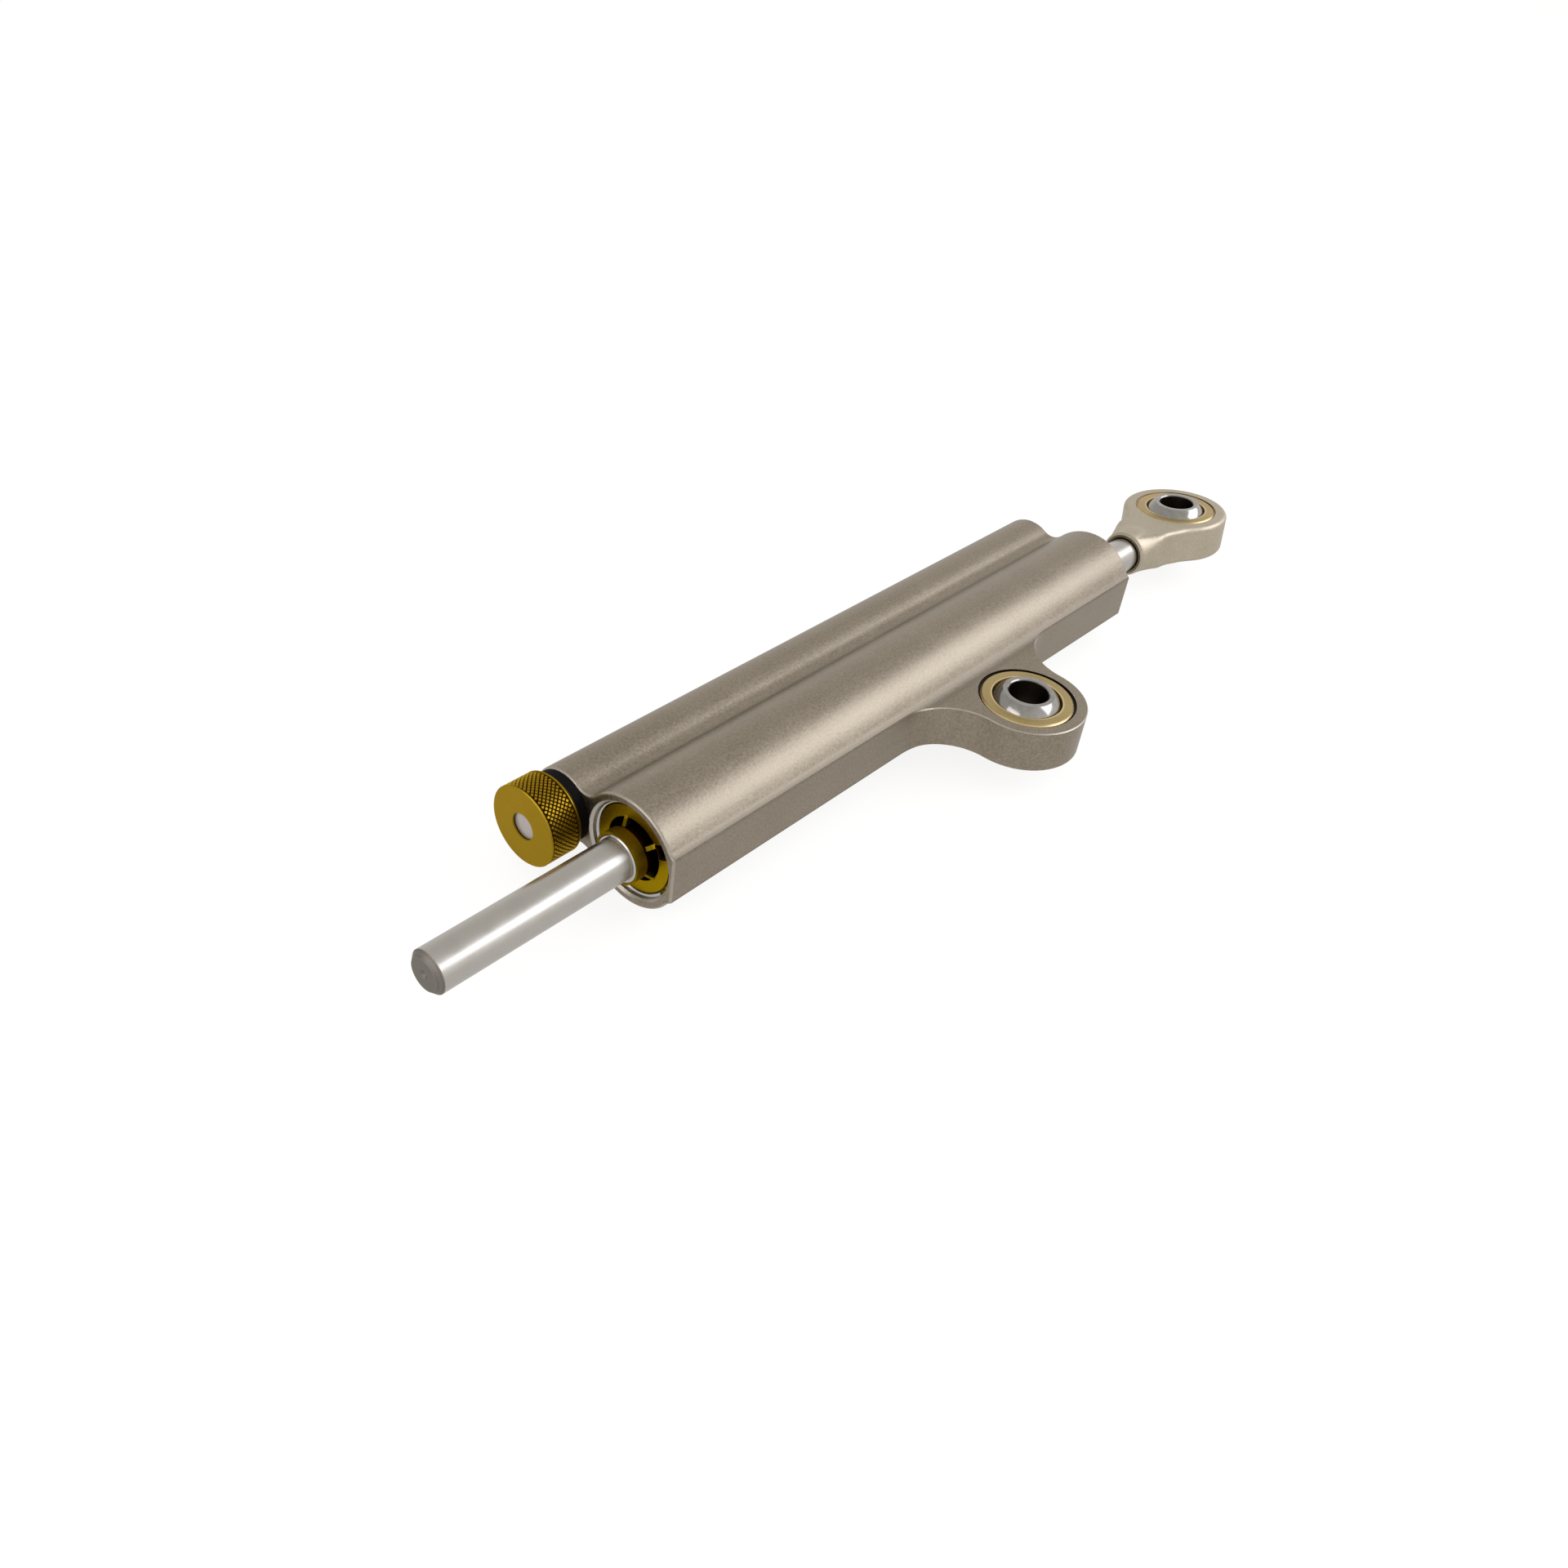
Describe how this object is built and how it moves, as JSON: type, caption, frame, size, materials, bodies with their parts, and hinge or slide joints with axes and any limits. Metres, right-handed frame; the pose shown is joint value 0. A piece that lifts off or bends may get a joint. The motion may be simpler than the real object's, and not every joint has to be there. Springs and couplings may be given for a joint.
{
  "type": "motorcycle steering damper",
  "caption": "Linear hydraulic steering damper with a through rod, a side-mounted click adjuster with a knurled knob, and spherical bearings in its lug and rod end.",
  "frame": {"origin": "centre of the ball of the spherical bearing in the body's lug", "axes": "X along the rod towards its eye, Z along the bore of the lug's ball, Y from the lug towards the rod and the adjuster"},
  "size_m": [0.2431, 0.0582, 0.022],
  "materials": {
    "blasted_aluminium": "matte bead blasted, clear anodised",
    "gold_anodised": "satin gold anodised",
    "knurled_gold": "gold anodised with a fine diamond knurl on the rim",
    "rod_end_metal": "satin, forged and polished",
    "polished_chrome": "polished hard chrome",
    "spring_steel": "drawn wire",
    "turned_steel": "turned",
    "race_brass": "turned",
    "bush_bronze": "sintered",
    "turned_aluminium": "turned, clear anodised",
    "seal_rubber": "moulded",
    "ring_plastic": "filled PTFE",
    "plug_plastic": "smooth, off-white"
  },
  "bodies": {
    "damper_body": {"body": "blasted_aluminium", "near_seal_head": "gold_anodised", "far_seal_head": "gold_anodised", "near_snap_ring": "spring_steel", "far_snap_ring": "spring_steel", "near_head_o_ring": "seal_rubber", "far_head_o_ring": "seal_rubber", "near_guide_bush": "bush_bronze", "far_guide_bush": "bush_bronze", "near_rod_seal": "seal_rubber", "far_rod_seal": "seal_rubber", "near_rod_wiper": "turned_steel", "far_rod_wiper": "turned_steel", "lug_race": "race_brass", "adjuster_housing": "turned_aluminium", "housing_o_ring": "seal_rubber", "dust_ring": "seal_rubber", "needle_seat": "race_brass", "port_plugs": "turned_steel", "end_plug": "turned_aluminium", "end_plug_o_ring": "seal_rubber", "end_plug_ring": "spring_steel", "reservoir_spring": "spring_steel", "detent_spring": "spring_steel"},
    "ring_carriage": {"piston_ring": "ring_plastic", "ring_energiser": "seal_rubber"},
    "rod": {"rod": "polished_chrome", "piston": "turned_aluminium", "piston_seal": "seal_rubber", "stop_sleeves": "turned_aluminium", "rod_clips": "spring_steel", "bump_rings": "seal_rubber", "rod_end_housing": "rod_end_metal", "rod_end_race": "race_brass"},
    "lug_ball": {"lug_ball": "polished_chrome"},
    "rod_end_ball": {"rod_end_ball": "polished_chrome"},
    "knob": {"knob": "knurled_gold", "knob_plug": "plug_plastic", "knob_screw": "turned_steel", "adjuster_spindle": "turned_steel", "spindle_o_ring": "seal_rubber"},
    "needle": {"needle": "turned_steel"},
    "detent_ball": {"detent_ball": "polished_chrome"},
    "floating_piston": {"floating_piston": "turned_aluminium", "floating_o_ring": "seal_rubber"}
  },
  "joints": [
    {"name": "rod_slide", "type": "slide", "parent": "damper_body", "child": "ring_carriage", "axis": [1, 0, 0], "range_m": [-0.013, 0.037]},
    {"name": "rod_turn", "type": "hinge", "parent": "ring_carriage", "child": "rod", "pos_m": [0, 0.022, 0], "axis": [1, 0, 0], "continuous": true},
    {"name": "rod_end_ball_turn", "type": "hinge", "parent": "rod", "child": "rod_end_ball", "pos_m": [0.1004, 0.022, 0], "axis": [0, 0.1132, 0.9936], "continuous": true},
    {"name": "lug_ball_turn", "type": "hinge", "parent": "damper_body", "child": "lug_ball", "pos_m": [0, 0, 0], "axis": [0, 0, 1], "continuous": true},
    {"name": "knob_turn", "type": "hinge", "parent": "damper_body", "child": "knob", "pos_m": [0, 0.0384, 0], "axis": [1, 0, 0], "range_deg": [0, 1080]},
    {"name": "needle_slide", "type": "slide", "parent": "damper_body", "child": "needle", "axis": [1, 0, 0], "range_m": [0, 0.0015]},
    {"name": "detent_ball_slide", "type": "slide", "parent": "damper_body", "child": "detent_ball", "axis": [1, 0, 0], "range_m": [-0.00025, 0], "stiffness_N_per_m": 400, "springref_m": -0.001, "deforming": ["detent_spring"]},
    {"name": "floating_piston_slide", "type": "slide", "parent": "damper_body", "child": "floating_piston", "axis": [1, 0, 0], "range_m": [-0.003, 0.005], "deforming": ["reservoir_spring"]}
  ],
  "couplings": [
    {"joint": "needle_slide", "follows": "knob_turn", "m_per_rad": 0.000079577}
  ]
}
